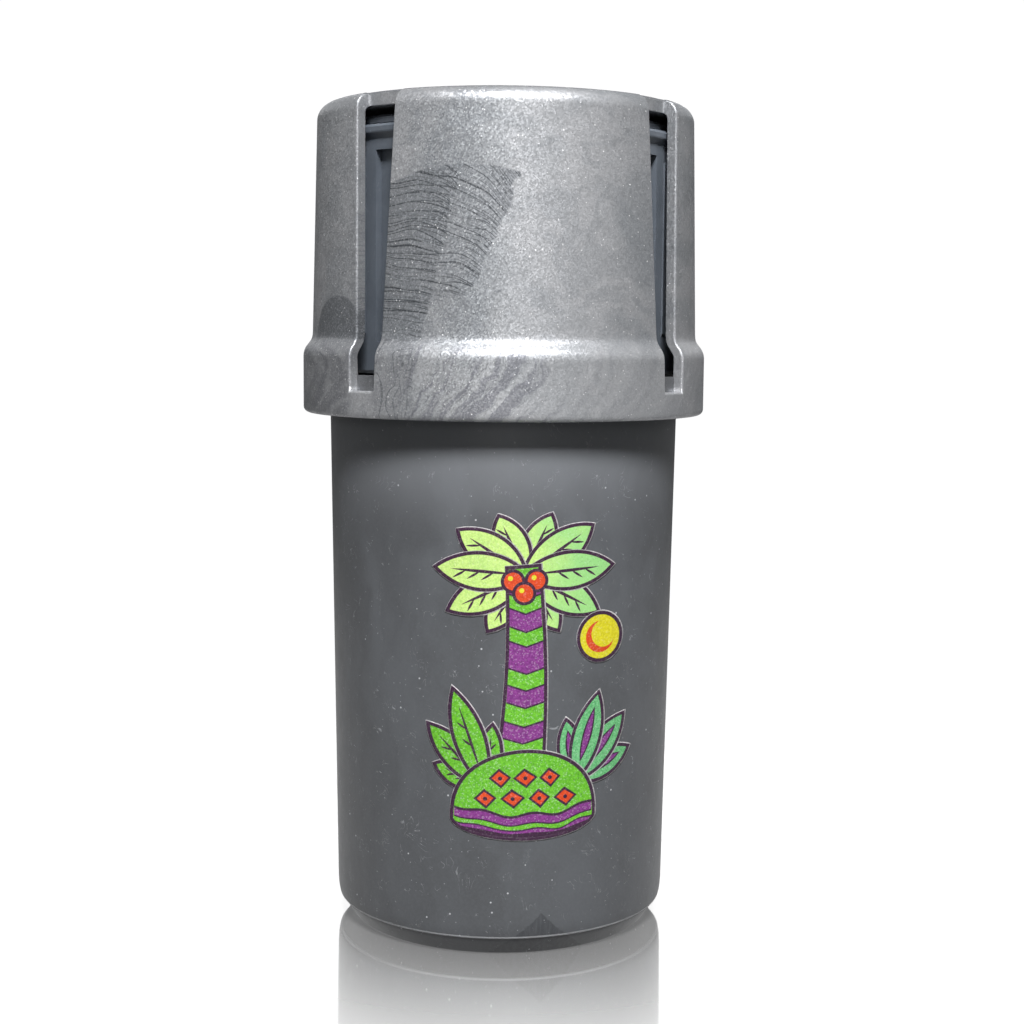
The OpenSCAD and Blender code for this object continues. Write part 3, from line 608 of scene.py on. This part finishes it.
class Grid:
    """Collects shared vertices of the shell and its faces, with weights for the edges that a bevel rounds."""

    def __init__(self, cols):
        self.cols, self.V, self.F, self.ids = cols, [], [], {}
        self.round, self.sharp = {}, set()

    def vid(self, key, r, z, c):
        c = c % len(self.cols)
        k = (key, c)
        if k not in self.ids:
            a = math.radians(self.cols[c][1](r, z))
            self.ids[k] = len(self.V)
            self.V.append((r * math.sin(a), -r * math.cos(a), z))
        return self.ids[k]

    def quad(self, a, b, c, d):
        q = list(dict.fromkeys((a, b, c, d)))
        if len(q) > 2:
            self.F.append(q)

    def object(self, name, width):
        ob = make(name, self.V, self.F, [CAP])
        me = ob.data
        w = me.attributes.new("bevel_weight_edge", "FLOAT", "EDGE")
        s = me.attributes.new("sharp_edge", "BOOLEAN", "EDGE") if "sharp_edge" not in me.attributes else me.attributes["sharp_edge"]
        for e in me.edges:
            k = tuple(sorted(e.vertices))
            if k in self.round:
                w.data[e.index].value = self.round[k]
            if k in self.sharp:
                s.data[e.index].value = True
        m = ob.modifiers.new("edges", "BEVEL")
        m.limit_method, m.width, m.segments, m.harden_normals = "WEIGHT", width * MM, 3, True
        m.use_clamp_overlap = True
        return ob


def shell_grid():
    out_low, in_low, pairs, out_top, in_top = cap_rows()
    cols = cap_columns()
    n = len(cols)
    s0 = next(i for i, p in enumerate(pairs) if abs(p[0][1] - SEAM0) < 1e-6)
    s1 = next(i for i, p in enumerate(pairs) if abs(p[0][1] - SEAM1) < 1e-6)
    mid = next(i for i, p in enumerate(pairs) if abs(p[0][1] - MID) < 1e-6)

    def fill(g, surf, keep_rows, keep_col):
        """Faces of one surface between neighbouring rows."""
        seq = surf
        for (k0, p0), (k1, p1) in zip(seq[:-1], seq[1:]):
            for c in range(n):
                if keep_rows(k0, k1) and keep_col(k0, k1, cols[c][0]):
                    g.quad(g.vid(k0, *p0, c), g.vid(k0, *p0, c + 1), g.vid(k1, *p1, c + 1), g.vid(k1, *p1, c))

    outer = [(("ol", i), p) for i, p in enumerate(out_low)] + [(("o", i), p[0]) for i, p in enumerate(pairs)] + [(("ot", i), p) for i, p in enumerate(out_top)]
    inner = [(("il", i), p) for i, p in enumerate(in_low)] + [(("i", i), p[1]) for i, p in enumerate(pairs)] + [(("it", i), p) for i, p in enumerate(in_top)]

    def in_slot(k0, k1):
        return k0[0] in "oi" and k1[0] in "oi" and len(k0[0]) == 1 and len(k1[0]) == 1

    def in_seam(k0, k1):
        return in_slot(k0, k1) and s0 <= k0[1] and k1[1] <= s1

    g = Grid(cols)

    def col_ok(k0, k1, kind):
        if kind == "slot" and in_slot(k0, k1):
            return False
        if kind.startswith("panel") and in_seam(k0, k1):
            return False
        return True

    fill(g, outer, lambda a, b: True, col_ok)
    fill(g, inner, lambda a, b: True, col_ok)
    # lower rim and the two poles of the roof
    for c in range(n):
        a, b = outer[0], inner[0]
        g.quad(g.vid(a[0], *a[1], c), g.vid(a[0], *a[1], c + 1), g.vid(b[0], *b[1], c + 1), g.vid(b[0], *b[1], c))
    for key, p in (outer[-1], inner[-1]):
        g.F.append([g.vid(key, *p, c) for c in range(n)])

    def wall(g, c, k0, k1, weight_o=1.0, weight_i=0.5):
        (o0, i0), (o1, i1) = pairs[k0], pairs[k1]
        a, b = g.vid(("o", k0), *o0, c), g.vid(("o", k1), *o1, c)
        d, e = g.vid(("i", k0), *i0, c), g.vid(("i", k1), *i1, c)
        g.quad(a, b, e, d)
        g.round[tuple(sorted((a, b)))] = weight_o
        g.round[tuple(sorted((d, e)))] = weight_i

    def cap(g, k, c, rounded):
        o, i = pairs[k]
        a, b = g.vid(("o", k), *o, c), g.vid(("o", k), *o, c + 1)
        d, e = g.vid(("i", k), *i, c), g.vid(("i", k), *i, c + 1)
        g.quad(a, b, e, d)
        for edge, wt in (((a, b), 1.0), ((d, e), 0.5)):
            if rounded:
                g.round[tuple(sorted(edge))] = wt
            else:
                g.sharp.add(tuple(sorted(edge)))

    last = len(pairs) - 1
    for c in range(n):
        kind, prev = cols[c][0], cols[c - 1][0]
        if kind == "slot":
            cap(g, 0, c, True)
            cap(g, last, c, True)
        if (kind == "slot") != (prev == "slot"):
            solid = prev if kind == "slot" else kind
            for k in range(last):
                if solid == "side" or k < s0 or k >= s1:
                    wall(g, c, k, k + 1, 1.0 if solid == "side" else 0.7)
        if kind.startswith("panel"):
            cap(g, s0, c, False)
            cap(g, s1, c, False)
    body = g.object("outer_cap_shell", 0.34)

    panels = []
    for kind, tag in (("panel_front", "front"), ("panel_rear", "rear")):
        cs = [c for c in range(n) if cols[c][0] == kind]
        for lo, hi, part in ((s0, mid, "lower"), (mid, s1, "upper")):
            h = Grid(cols)
            for k in range(lo, hi):
                for c in cs:
                    for s, j in (("o", 0), ("i", 1)):
                        h.quad(h.vid((s, k), *pairs[k][j], c), h.vid((s, k), *pairs[k][j], c + 1), h.vid((s, k + 1), *pairs[k + 1][j], c + 1), h.vid((s, k + 1), *pairs[k + 1][j], c))
                wall(h, cs[0], k, k + 1, 0.7)
                wall(h, cs[-1] + 1, k, k + 1, 0.7)
            for c in cs:
                cap(h, lo, c, False)
                cap(h, hi, c, False)
            ob = h.object(f"{tag}_panel_{part}", 0.34)
            panels.append((ob, tag, part))
    return body, panels


def build_cap():
    body, panels = shell_grid()
    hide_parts("outer_cap")
    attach(body, "outer_cap")
    for ob, tag, part in panels:
        if part == "lower":
            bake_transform(ob)
        else:
            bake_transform(ob)
        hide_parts(f"{tag}_squeeze_panel")
        # drive ribs on the inside of the panel
    for tag, turn in (("front", 0.0), ("rear", 180.0)):
        V, F = [], []
        for side in (-1, 1):
            prof = [(24.75, 87.2), (24.85, 86.9), (25.2, 86.5), (25.9, 86.2), (25.9, 103.8), (25.2, 103.5), (24.85, 103.1), (24.75, 102.8)]
            prof = [(min(r, cap_r(z) - 1.2), z) for r, z in prof]
            v, f = lathe_data(prof, 6, closed=True, base=len(V), a0=turn + side * 36.6 - 1.5, a1=turn + side * 36.6 + 1.5)
            V += v
            F += f
        ob = make(f"{tag}_panel_ribs", V, F, [CAP], smooth=False)
        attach(ob, f"{tag}_panel")
    # ring in the collar, snap ribs and the boss
    V, F = lathe_data([(25.4, 75.0), (25.5, 74.85), (26.2, 74.6), (27.2, 74.35), (27.2, 78.1), (25.72, 78.1), (25.5, 78.02), (25.4, 77.85)], 240, closed=True)
    for side in (90.0, -90.0):
        v, f = lathe_data([(24.55, 108.05), (25.2, 107.35), (25.8, 107.35), (25.8, 109.15), (24.62, 109.15)], 26, closed=True, base=len(V), a0=side - 26, a1=side + 26)
        V += v
        F += f
    hexa = [(6.5 * math.sin(math.radians(60 * i + 30)), 6.5 * math.cos(math.radians(60 * i + 30))) for i in range(6)]
    b = len(V)
    V += [(x, y, 108.65) for x, y in hexa] + [(x, y, 113.6) for x, y in hexa]
    F += [[b + i, b + (i + 1) % 6, b + 6 + (i + 1) % 6, b + 6 + i] for i in range(6)] + [[b + i for i in range(6)], [b + 6 + i for i in reversed(range(6))]]
    ob = make("outer_cap_inner", V, F, [CAP_PAINTED_SHADE], smooth=True)
    m = ob.modifiers.new("split", "EDGE_SPLIT")
    m.split_angle = math.radians(38)
    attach(ob, "outer_cap")


# ------------------------------------------------------------------ printed graphic
def leaf(x, y, rot, l, w, d=0.0, n=26):
    a, s = l / 2, w / 2
    R = (a * a + s * s) / (2 * s)
    h = R - s
    half = math.sqrt((R + d) ** 2 - h * h)
    phi = math.asin(half / (R + d))
    top = [((R + d) * math.sin(-phi + 2 * phi * i / n), (R + d) * math.cos(-phi + 2 * phi * i / n) - h) for i in range(n)]
    bot = [((R + d) * math.sin(phi - 2 * phi * i / n), -(R + d) * math.cos(phi - 2 * phi * i / n) + h) for i in range(n)]
    pts = np.array(top + bot) + [a, 0]
    c, q = math.cos(math.radians(rot)), math.sin(math.radians(rot))
    return pts @ np.array([[c, q], [-q, c]]) + [x, y]


def disc(x, y, r, n=40, sx=1.0, sy=1.0):
    return np.array([(x + sx * r * math.cos(2 * math.pi * i / n), y + sy * r * math.sin(2 * math.pi * i / n)) for i in range(n)])


def strip(line, widths, d=0.0):
    """A band along a line with a width at each of its points, its ends rounded by d."""
    line = np.array(line, float)
    t = np.gradient(line, axis=0)
    t /= np.linalg.norm(t, axis=1)[:, None]
    nrm = np.stack([-t[:, 1], t[:, 0]], 1)
    w = (np.array(widths, float) / 2 + d)[:, None]
    ends = line.copy()
    ends[0] -= t[0] * d
    ends[-1] += t[-1] * d
    return np.concatenate([ends + nrm * w, (ends - nrm * w)[::-1]])


def trunk_line(n=40):
    q = np.linspace(0, 1, n)
    return np.stack([-2.2 + 0.8 * np.sin(math.radians(162) * q), 24.5 + 28.7 * q], 1), 6.0 - 2.1 * q ** 0.8


def motif():
    """The layers of the print from back to front: (colour, outline polygon)."""
    L = []
    D = 0.46

    def rimmed(shape, fill):
        L.append(("rim", shape(D + 0.10) + [0.07, -0.02]))
        L.append(("line", shape(D)))
        L.append((fill, shape(0.0)))

    def veins(x, y, rot, l, w, cuts=(0.36, 0.52, 0.68), mid=0.42):
        c, s = math.cos(math.radians(rot)), math.sin(math.radians(rot))
        L.append(("line", leaf(x + c * l * 0.12, y + s * l * 0.12, rot, l * 0.74, mid)))
        for k in cuts:
            L.append(("line", leaf(x + c * l * k, y + s * l * k, rot - 36 if c > 0 else rot + 36, w * 0.46, 0.30, 0.0, 8)))

    # crown of fronds, the upper ones in front
    cx, cz = -1.8, 52.4
    fronds = [(-58, 8.6, 3.6), (238, 8.6, 3.6), (-27, 11.4, 4.2), (207, 10.6, 4.2), (66, 8.4, 3.9), (114, 8.2, 3.9), (34, 11.0, 4.3), (146, 10.0, 4.2), (4, 12.2, 4.4), (176, 11.0, 4.4)]
    for rot, l, w in fronds:
        rimmed(lambda d, rot=rot, l=l, w=w: leaf(cx, cz, rot, l, w, d), "pale")
        veins(cx, cz, rot, l, w)
    # trunk with bands that sag in the middle
    line, w = trunk_line()
    rimmed(lambda d: strip(line, w, d), "lime")
    for z0, h in ((30.6, 2.0), (35.4, 2.1), (40.0, 3.4), (45.6, 2.2), (49.9, 1.3)):
        i = [k for k in range(len(line)) if z0 - 0.4 <= line[k][1] <= z0 + h + 0.4]
        seg, ww = line[i], w[i]
        up = np.array([(seg[-1][0] + f * ww[-1] / 2, z0 + h - 0.8 * (1 - abs(f))) for f in np.linspace(-1, 1, 11)])
        dn = np.array([(seg[0][0] + f * ww[0] / 2, z0 - 0.8 * (1 - abs(f))) for f in np.linspace(1, -1, 11)])
        L.append(("line", np.concatenate([up + [0, 0.24], dn - [0, 0.24]])))
        L.append(("purple", np.concatenate([up, dn])))
    # fruit
    for x, y in ((-3.3, 51.5), (-0.2, 51.6), (-1.8, 49.9)):
        L.append(("line", disc(x, y, 1.60)))
        L.append(("orange", disc(x, y, 1.18)))
        L.append(("yellow", disc(x - 0.35, y + 0.38, 0.34, 16)))
    # sun
    sx, sy = 9.0, 43.6
    L.append(("rim", disc(sx + 0.08, sy, 3.60)))
    L.append(("line", disc(sx, sy, 3.48)))
    L.append(("yellow", disc(sx, sy, 2.98)))
    L.append(("orange", disc(sx, sy, 2.15)))
    L.append(("yellow", disc(sx + 0.5, sy + 0.4, 1.85)))
    # plants at the foot
    for rot, l, w in ((22, 8.6, 3.3), (100, 8.0, 3.0), (48, 10.6, 3.6), (74, 11.6, 3.6)):
        rimmed(lambda d, rot=rot, l=l, w=w: leaf(5.6, 24.5, rot, l, w, d), "mint")
        c, s = math.cos(math.radians(rot)), math.sin(math.radians(rot))
        L.append(("line", leaf(5.6 + c * l * 0.2, 24.5 + s * l * 0.2, rot, l * 0.66, 1.35)))
        L.append(("purple", leaf(5.6 + c * l * 0.24, 24.5 + s * l * 0.24, rot, l * 0.58, 0.86)))
    for rot, l, w in ((158, 6.6, 2.9), (84, 8.0, 2.8), (132, 10.4, 3.3), (108, 13.2, 3.4)):
        rimmed(lambda d, rot=rot, l=l, w=w: leaf(-6.6, 24.0, rot, l, w, d), "lime")
        veins(-6.6, 24.0, rot, l, w, (0.42, 0.60), 0.36)

    # island: a domed mound with strata
    def mound(d, n=60):
        a = np.linspace(0, math.pi, n)
        up = np.stack([(9.4 + d) * np.cos(a), 19.5 + (8.9 + d) * np.clip(np.sin(a), 0, 1) ** 0.8], 1)
        b = np.linspace(math.pi, 2 * math.pi, n // 2)[1:-1]
        dn = np.stack([(9.4 + d) * np.cos(b), 19.5 + (2.6 + d) * np.sin(b)], 1)
        return np.concatenate([up, dn]) + [-1.2, 0]
    rimmed(mound, "lime")

    def layer(zm, amp, thick=None, inset=0.0):
        x = np.linspace(-9.32 + inset, 9.32 - inset, 72)
        lim = 19.5 - (2.6 - inset) * np.sqrt(np.clip(1 - (x / (9.4 - inset)) ** 2, 0, 1))
        zt = zm + 1.3 * (np.abs(x) / 9.4) ** 2.2 + amp * np.sin(x * 0.95 + 0.6)
        zb = lim if thick is None else np.maximum(zt - thick - 0.35 * amp * np.cos(x * 1.3), lim)
        zt = np.maximum(zt, zb + 0.02)
        return np.concatenate([np.stack([x - 1.2, zt], 1), np.stack([x - 1.2, zb], 1)[::-1]])
    L.append(("line", layer(20.1, 0.30)))
    L.append(("purple", layer(19.75, 0.30)))
    L.append(("line", layer(18.75, 0.22, 0.95)))
    L.append(("lime", layer(18.55, 0.22, 0.55)))
    L.append(("line", layer(17.45, 0.1)))
    # two courses of orange lozenges on the mound
    for y, xs in ((25.0, (-4.7, -1.35, 2.0)), (22.2, (-6.6, -3.0, 0.6, 4.2))):
        for i, x in enumerate(xs):
            k = 1.0 if i % 2 else 0.86
            for colour, g in (("line", 0.42), ("orange", 0.0)):
                L.append((colour, np.array([(x - 1.25 * k - g, y), (x - 0.15, y + 0.95 + g), (x + 1.25 * k + g, y + 0.12), (x + 0.15, y - 0.95 - g)])))
            L.append(("line", disc(x, y, 0.28, 12)))
    return L


INKS = {
    "rim": ((150, 148, 150), (196, 194, 194), 0.3, None),
    "line": ((44, 16, 44), (60, 26, 58), 0.25, None),
    "pale": ((190, 230, 122), (216, 244, 146), 0.5, (158, 222, 138)),
    "lime": ((88, 172, 36), (122, 206, 52), 1.0, None),
    "purple": ((116, 42, 122), (148, 66, 150), 0.8, None),
    "orange": ((212, 62, 22), (226, 84, 34), 0.5, None),
    "yellow": ((216, 204, 20), (234, 226, 50), 0.5, None),
    "mint": ((84, 172, 104), (128, 206, 142), 0.8, None),
}


def inside(poly, pts):
    x, y = pts[:, 0], pts[:, 1]
    ok = np.zeros(len(pts), bool)
    box = (x >= poly[:, 0].min()) & (x <= poly[:, 0].max()) & (y >= poly[:, 1].min()) & (y <= poly[:, 1].max())
    idx = np.nonzero(box)[0]
    if not len(idx):
        return ok
    px, py = x[idx], y[idx]
    hit = np.zeros(len(idx), bool)
    a, b = poly, np.roll(poly, -1, axis=0)
    for (x0, y0), (x1, y1) in zip(a, b):
        if y0 == y1:
            continue
        cond = ((y0 > py) != (y1 > py)) & (px < (x1 - x0) * (py - y0) / (y1 - y0) + x0)
        hit ^= cond
    ok[idx] = hit
    return ok


def build_print(turn=5.0):
    layers = motif()
    verts, edges = [], []
    for _, poly in layers:
        b = len(verts)
        verts += [Vector((float(x), float(y))) for x, y in poly]
        edges += [(b + i, b + (i + 1) % len(poly)) for i in range(len(poly))]
    allp = np.concatenate([p for _, p in layers])
    gx, gz = np.meshgrid(np.arange(allp[:, 0].min(), allp[:, 0].max(), 0.55), np.arange(allp[:, 1].min(), allp[:, 1].max(), 0.55))
    gx[::2] += 0.275
    grid = np.stack([gx.ravel(), gz.ravel()], 1)
    keep = np.zeros(len(grid), bool)
    for _, poly in layers:
        keep |= inside(poly, grid)
    verts += [Vector((float(x), float(y))) for x, y in grid[keep]]
    vo, _, fo, *_ = delaunay_2d_cdt(verts, edges, [], 0, 1e-4)
    P = np.array([(v.x, v.y) for v in vo])
    T = np.array([f for f in fo if len(f) == 3], int)
    cen = P[T].mean(1)
    area = 0.5 * np.abs(np.cross(P[T[:, 1]] - P[T[:, 0]], P[T[:, 2]] - P[T[:, 0]]))
    names = list(INKS)
    col = np.full(len(T), -1)
    for colour, poly in layers:
        col[inside(poly, cen)] = names.index(colour)
    ok = (col >= 0) & (area > 1e-7)
    T, col = T[ok], col[ok]
    used = np.unique(T)
    remap = np.full(len(P), -1)
    remap[used] = np.arange(len(used))
    P, T = P[used], remap[T]
    # face the same way
    sgn = np.cross(P[T[:, 1]] - P[T[:, 0]], P[T[:, 2]] - P[T[:, 0]])
    T[sgn < 0] = T[sgn < 0][:, ::-1]
    # height: rounded down at the print's edge
    count = {}
    for tri in T:
        for i in range(3):
            e = (tri[i], tri[(i + 1) % 3])
            count[e] = count.get(e, 0) + 1
    rim = [(a, b) for (a, b) in count if (b, a) not in count]
    is_rim = np.zeros(len(P), bool)
    for a, b in rim:
        is_rim[a] = is_rim[b] = True

    def wrap(P, h):
        r = jar_r(P[:, 1]) + h
        a = np.arcsin(np.clip(P[:, 0] / r, -1, 1)) + math.radians(turn)
        return np.stack([r * np.sin(a), -r * np.cos(a), P[:, 1]], 1)
    top = wrap(P, np.where(is_rim, 0.09, 0.135))
    bot = wrap(P, np.full(len(P), 0.012))
    n = len(P)
    V = np.concatenate([top, bot])
    F = [list(map(int, t)) for t in T] + [[int(t[2]) + n, int(t[1]) + n, int(t[0]) + n] for t in T]
    M = list(col) + list(col)
    owner = {}
    for k, tri in enumerate(T):
        for i in range(3):
            owner[(tri[i], tri[(i + 1) % 3])] = col[k]
    for a, b in rim:
        F.append([int(b), int(a), int(a) + n, int(b) + n])
        M.append(owner[(a, b)])
    mats = [ink_material("ink_" + k, *v) for k, v in INKS.items()]
    ob = make("print_palm", V, F, mats, face_mats=M, recalc=False)
    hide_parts("printed_graphic")
    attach(ob, "jar")
    return ob


# ------------------------------------------------------------------ carried-over CAD nodes
def dress(node, mat, angle=32):
    ob = nodes[node]
    ob.data.materials.clear()
    ob.data.materials.append(mat)
    ob.data.polygons.foreach_set("material_index", np.zeros(len(ob.data.polygons), np.int32))
    ob.data.polygons.foreach_set("use_smooth", np.ones(len(ob.data.polygons), bool))
    m = ob.modifiers.new("split", "EDGE_SPLIT")
    m.split_angle = math.radians(angle)


build_jar()
build_cap()
build_print()
dress("screw_cap", DRUM)
dress("grinder_cup", GRIND)
dress("grinder_rotor", GRIND)
dress("mouth_seal", RUBBER)
dress("rotor_seal", RUBBER)


# ------------------------------------------------------------------ camera
TURN = math.radians(-6.45)
FOCAL_PX, DIST, HEIGHT, PITCH, OFFSET, ROLL = 1739.0, 250.0, 84.6, 0.1058, 1.36, 0.0090
fwd = Vector((0, math.cos(PITCH), -math.sin(PITCH)))
up = Vector((0, math.sin(PITCH), math.cos(PITCH)))
right = Vector((1, 0, 0))
r2 = right * math.cos(ROLL) + up * math.sin(ROLL)
u2 = -right * math.sin(ROLL) + up * math.cos(ROLL)
spin = Matrix.Rotation(TURN, 3, "Z")
cam_data = bpy.data.cameras.new("camera")
cam = bpy.data.objects.new("camera", cam_data)
scene.collection.objects.link(cam)
cam_data.sensor_width = 36.0
cam_data.lens = FOCAL_PX / 1024 * 36.0
cam_data.clip_start, cam_data.clip_end = 0.01, 20.0
cols3 = [spin @ r2, spin @ u2, spin @ (-fwd)]
pos = spin @ Vector((OFFSET, -DIST, HEIGHT)) * MM
cam.matrix_world = Matrix(((cols3[0].x, cols3[1].x, cols3[2].x, pos.x), (cols3[0].y, cols3[1].y, cols3[2].y, pos.y), (cols3[0].z, cols3[1].z, cols3[2].z, pos.z), (0, 0, 0, 1)))
scene.camera = cam


# ------------------------------------------------------------------ floor, backdrop and light
def glow(name, strength=1.0):
    t = Tree(name)
    t.t.nodes.remove(t.bsdf)
    e = t.t.nodes.new("ShaderNodeEmission")
    e.inputs[0].default_value = (1, 1, 1, 1)
    e.inputs[1].default_value = strength
    t.t.links.new(e.outputs[0], t.out.inputs[0])
    return t.mat


def floor_material():
    """White acrylic: lit white away from the part, and a mirror that fades within a hand's breadth of it."""
    t = Tree("floor_white")
    tc = t.t.nodes.new("ShaderNodeTexCoord")
    r = t.vmath("LENGTH", t.vmath("MULTIPLY", tc.outputs["Object"], (1000.0, 1000.0, 0.0)))
    e = t.t.nodes.new("ShaderNodeEmission")
    e.inputs[0].default_value = (1, 1, 1, 1)
    e.inputs[1].default_value = 1.02
    g = t.t.nodes.new("ShaderNodeBsdfGlossy")
    g.inputs["Color"].default_value = (1, 1, 1, 1)
    g.inputs["Roughness"].default_value = 0.06
    d = t.t.nodes.new("ShaderNodeBsdfDiffuse")
    d.inputs["Color"].default_value = (0.9, 0.9, 0.9, 1)
    t.t.nodes.remove(t.bsdf)

    def blend(f, a, b):
        m = t.t.nodes.new("ShaderNodeMixShader")
        t.put(m.inputs[0], f)
        t.t.links.new(a, m.inputs[1])
        t.t.links.new(b, m.inputs[2])
        return m.outputs[0]
    lit = blend(t.math("MULTIPLY", t.step(r, 150.0, 40.0), 0.45), e.outputs[0], d.outputs[0])
    mirror = t.math("MULTIPLY", t.step(r, 88.0, 12.0), 0.86)
    t.t.links.new(blend(mirror, lit, g.outputs[0]), t.out.inputs[0])
    return t.mat


def turned_piece(name, prof, mat, n=96):
    V, F = lathe_data(prof, n)
    me = bpy.data.meshes.new(name)
    me.from_pydata([(x * MM, y * MM, z * MM) for x, y, z in V], [], F)
    me.polygons.foreach_set("use_smooth", np.ones(len(me.polygons), bool))
    me.materials.append(mat)
    me.update()
    ob = bpy.data.objects.new(name, me)
    scene.collection.objects.link(ob)
    return ob


def build_stage():
    floor = turned_piece("floor", [(0.0, -0.02), (60, -0.02), (150, -0.02), (500, -0.02), (2000, -0.02)], floor_material())
    floor.visible_diffuse = False
    floor.visible_glossy = False
    # what the part's own gloss sees of the floor: brighter close by
    t = Tree("floor_glow")
    tc = t.t.nodes.new("ShaderNodeTexCoord")
    r = t.vmath("LENGTH", tc.outputs["Object"])
    t.t.nodes.remove(t.bsdf)
    e = t.t.nodes.new("ShaderNodeEmission")
    e.inputs[0].default_value = (1, 1, 1, 1)
    t.put(e.inputs[1], t.math("MULTIPLY_ADD", t.step(r, 0.55, 0.03), 0.62, 0.12))
    t.t.links.new(e.outputs[0], t.out.inputs[0])
    low = turned_piece("floor_glow", [(0.0, -0.5), (60, -0.5), (300, -0.5), (1980, -0.5)], t.mat)
    low.visible_camera = low.visible_diffuse = low.visible_shadow = low.visible_transmission = False
    white = glow("surround_white", 1.02)
    wall = turned_piece("wall", [(1990, -0.02), (1990, 520)], white)
    band = turned_piece("band", [(1990, 520), (1990, 900)], white)
    dome = turned_piece("dome", [(1990 * math.cos(math.radians(a)), 900 + 1990 * math.sin(math.radians(a))) for a in range(0, 90, 6)] + [(0.0, 2890)], white)
    under = turned_piece("under", [(0.0, -1200.0), (1990 * 0.7, -1000.0), (1990, -0.02)], white)
    veil = turned_piece("veil", [(1960 * math.cos(math.radians(a)), 20 + 1960 * math.sin(math.radians(a))) for a in range(26, 71, 4)], glow("veil_pale", 0.2))
    veil.visible_camera = veil.visible_diffuse = veil.visible_shadow = veil.visible_transmission = False
    for ob in (wall, band, dome, under):
        ob.visible_diffuse = ob.visible_shadow = ob.visible_transmission = False
    wall.visible_glossy = dome.visible_glossy = under.visible_glossy = False


def area(name, loc, target, size, power, colour=(1, 1, 1), size_y=None):
    d = bpy.data.lights.new(name, "AREA")
    d.shape = "RECTANGLE"
    d.size, d.size_y = size, size_y or size
    d.energy, d.color = power, colour
    o = bpy.data.objects.new(name, d)
    scene.collection.objects.link(o)
    o.location = spin @ Vector(loc)
    o.rotation_mode = "QUATERNION"
    o.rotation_quaternion = (spin @ Vector(target) - o.location).to_track_quat("-Z", "Y")
    return o


build_stage()
area("key", (0.06, -0.62, 0.82), (0, 0, 0.08), 0.32, 16.2, size_y=0.22)
area("front_fill", (0.02, -0.95, 0.16), (0, 0, 0.06), 0.55, 0.6, size_y=0.5)
area("back", (-0.03, 0.72, 0.62), (0, 0, 0.06), 0.42, 11.0, size_y=0.36).visible_glossy = False
area("side_left", (-0.78, 0.45, 0.24), (0, 0, 0.06), 0.4, 0.5, size_y=0.3).visible_glossy = False
area("side_right", (0.78, 0.45, 0.24), (0, 0, 0.06), 0.4, 0.5, size_y=0.3).visible_glossy = False
world = bpy.data.worlds.new("world")
scene.world = world
world.use_nodes = True
bg = world.node_tree.nodes["Background"]
bg.inputs[0].default_value = (1.0, 1.0, 1.0, 1.0)
bg.inputs[1].default_value = 0.06
scene.view_settings.view_transform = "Standard"
scene.view_settings.look = "None"
